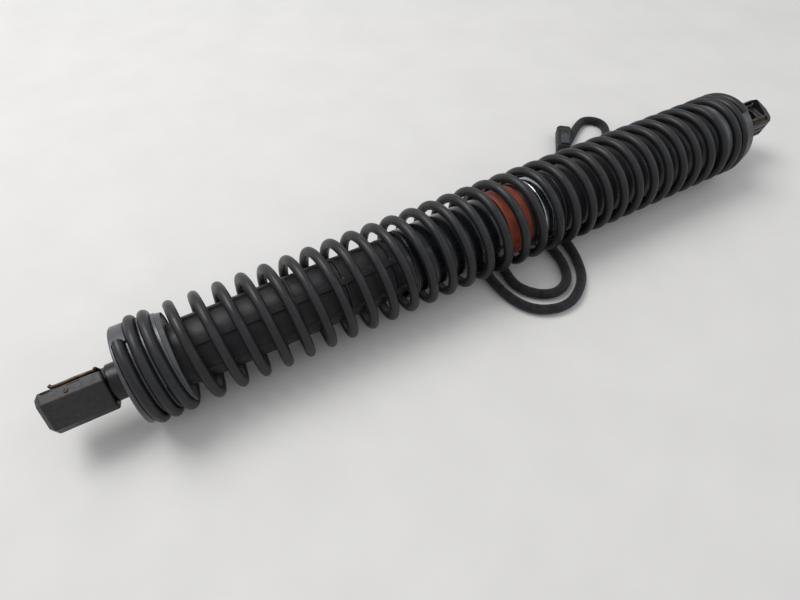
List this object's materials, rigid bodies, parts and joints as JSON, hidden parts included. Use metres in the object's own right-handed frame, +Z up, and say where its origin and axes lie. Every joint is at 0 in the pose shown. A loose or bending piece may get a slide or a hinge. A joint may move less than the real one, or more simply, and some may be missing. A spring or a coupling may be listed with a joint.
{
  "type": "powered tailgate strut",
  "caption": "Spring-assisted electric strut: a coil spring round a telescopic spindle drive, with a ball socket at each end and a free cable with a plug.",
  "frame": {"origin": "on the surface the strut lies on, under the middle of the strut, fully extended; the cable is left out of the box it is the middle of", "axes": "+X along the strut from the guide half to the motor half, +Z up, +Y to the back"},
  "size_m": [0.4202, 0.1259, 0.048],
  "materials": {
    "spring_paint": "dark grey powder coat, satin",
    "seat_grey": "grey coated steel, satin",
    "socket_black": "black moulded plastic, fine grain",
    "neck_black": "black, glossy",
    "clip_wire": "bright spring wire, slightly rusty",
    "push_plastic": "black glass-filled plastic, matt",
    "sleeve_plastic": "black, glossy",
    "ring_orange": "orange moulded plastic, matt",
    "collar_black": "black, satin gloss",
    "seal_rubber": "black rubber",
    "bright_steel": "bright plated steel",
    "tube_paint": "black paint, satin",
    "gear_plastic": "ivory engineering plastic",
    "steel": "machined steel",
    "magnet": "sintered ferrite, matt",
    "copper": "copper segments",
    "board": "green laminate",
    "rubber": "black rubber",
    "loom_tape": "black fleece loom tape",
    "plug_plastic": "black plastic wrapped in fleece tape",
    "latch_grey": "grey-blue plastic, smooth"
  },
  "bodies": {
    "motor_half": {"coil_spring": "spring_paint", "guide_sleeve": "sleeve_plastic", "brake_ring": "ring_orange", "lock_collar": "collar_black", "collar_seal": "seal_rubber", "steel_end_ring": "bright_steel", "motor_tube": "tube_paint", "gearbox_housing": "gear_plastic", "spindle_bearing": "steel", "ring_gear": "gear_plastic", "motor_can": "steel", "front_bushing": "copper", "field_magnets": "magnet", "brush_plate": "gear_plastic", "sensor_board": "board", "rubber_damper": "rubber", "motor_neck": "neck_black", "motor_spring_seat": "seat_grey", "motor_ball_socket": "socket_black", "cable_grommet": "rubber", "cable": "loom_tape", "plug_body": "plug_plastic", "plug_boot": "rubber", "plug_latch": "latch_grey"},
    "guide_half": {"guide_ball_socket": "socket_black", "guide_neck": "neck_black", "guide_spring_seat": "seat_grey", "push_tube": "push_plastic", "spindle_nut": "gear_plastic"},
    "guide_clip": {"guide_socket_clip": "clip_wire"},
    "motor_clip": {"motor_socket_clip": "clip_wire"},
    "spindle_drive": {"spindle": "steel", "spindle_guide": "gear_plastic", "planet_carrier": "steel"},
    "rotor": {"armature_shaft": "steel", "sun_gear": "steel", "armature": "steel", "commutator": "copper"},
    "planet_1": {"planet_gear_1": "gear_plastic"},
    "planet_2": {"planet_gear_2": "gear_plastic"},
    "planet_3": {"planet_gear_3": "gear_plastic"}
  },
  "joints": [
    {"name": "strut_slide", "type": "slide", "parent": "motor_half", "child": "guide_half", "axis": [1, 0, 0], "range_m": [0, 0.1], "stiffness_N_per_m": 1700, "deforming": ["coil_spring"]},
    {"name": "rotor_spin", "type": "hinge", "parent": "motor_half", "child": "rotor", "pos_m": [0.119, 0, 0.024], "axis": [1, 0, 0], "range_deg": [0, 9045]},
    {"name": "spindle_spin", "type": "hinge", "parent": "motor_half", "child": "spindle_drive", "pos_m": [0.08, 0, 0.024], "axis": [1, 0, 0], "range_deg": [0, 1805]},
    {"name": "planet_spin_1", "type": "hinge", "parent": "spindle_drive", "child": "planet_1", "pos_m": [0.088, 0, 0.03115], "axis": [1, 0, 0], "range_deg": [-4860, 0]},
    {"name": "planet_spin_2", "type": "hinge", "parent": "spindle_drive", "child": "planet_2", "pos_m": [0.088, -0.00619, 0.02042], "axis": [1, 0, 0], "range_deg": [-4860, 0]},
    {"name": "planet_spin_3", "type": "hinge", "parent": "spindle_drive", "child": "planet_3", "pos_m": [0.088, 0.00619, 0.02042], "axis": [1, 0, 0], "range_deg": [-4860, 0]},
    {"name": "guide_clip_lift", "type": "hinge", "parent": "guide_half", "child": "guide_clip", "pos_m": [-0.20521, 0.00329, 0.02926], "axis": [0, -0.848, 0.5299], "range_deg": [0, 12], "stiffness_Nm_per_rad": 0.45},
    {"name": "motor_clip_lift", "type": "hinge", "parent": "motor_half", "child": "motor_clip", "pos_m": [0.20521, -0.00086, 0.03014], "axis": [0, 0.9903, 0.1392], "range_deg": [0, 12], "stiffness_Nm_per_rad": 0.45}
  ],
  "couplings": [
    {"joint": "rotor_spin", "follows": "strut_slide", "rad_per_m": 1576.3},
    {"joint": "spindle_spin", "follows": "strut_slide", "rad_per_m": 314.16},
    {"joint": "planet_spin_1", "follows": "strut_slide", "rad_per_m": -846.38},
    {"joint": "planet_spin_2", "follows": "strut_slide", "rad_per_m": -846.38},
    {"joint": "planet_spin_3", "follows": "strut_slide", "rad_per_m": -846.38}
  ]
}
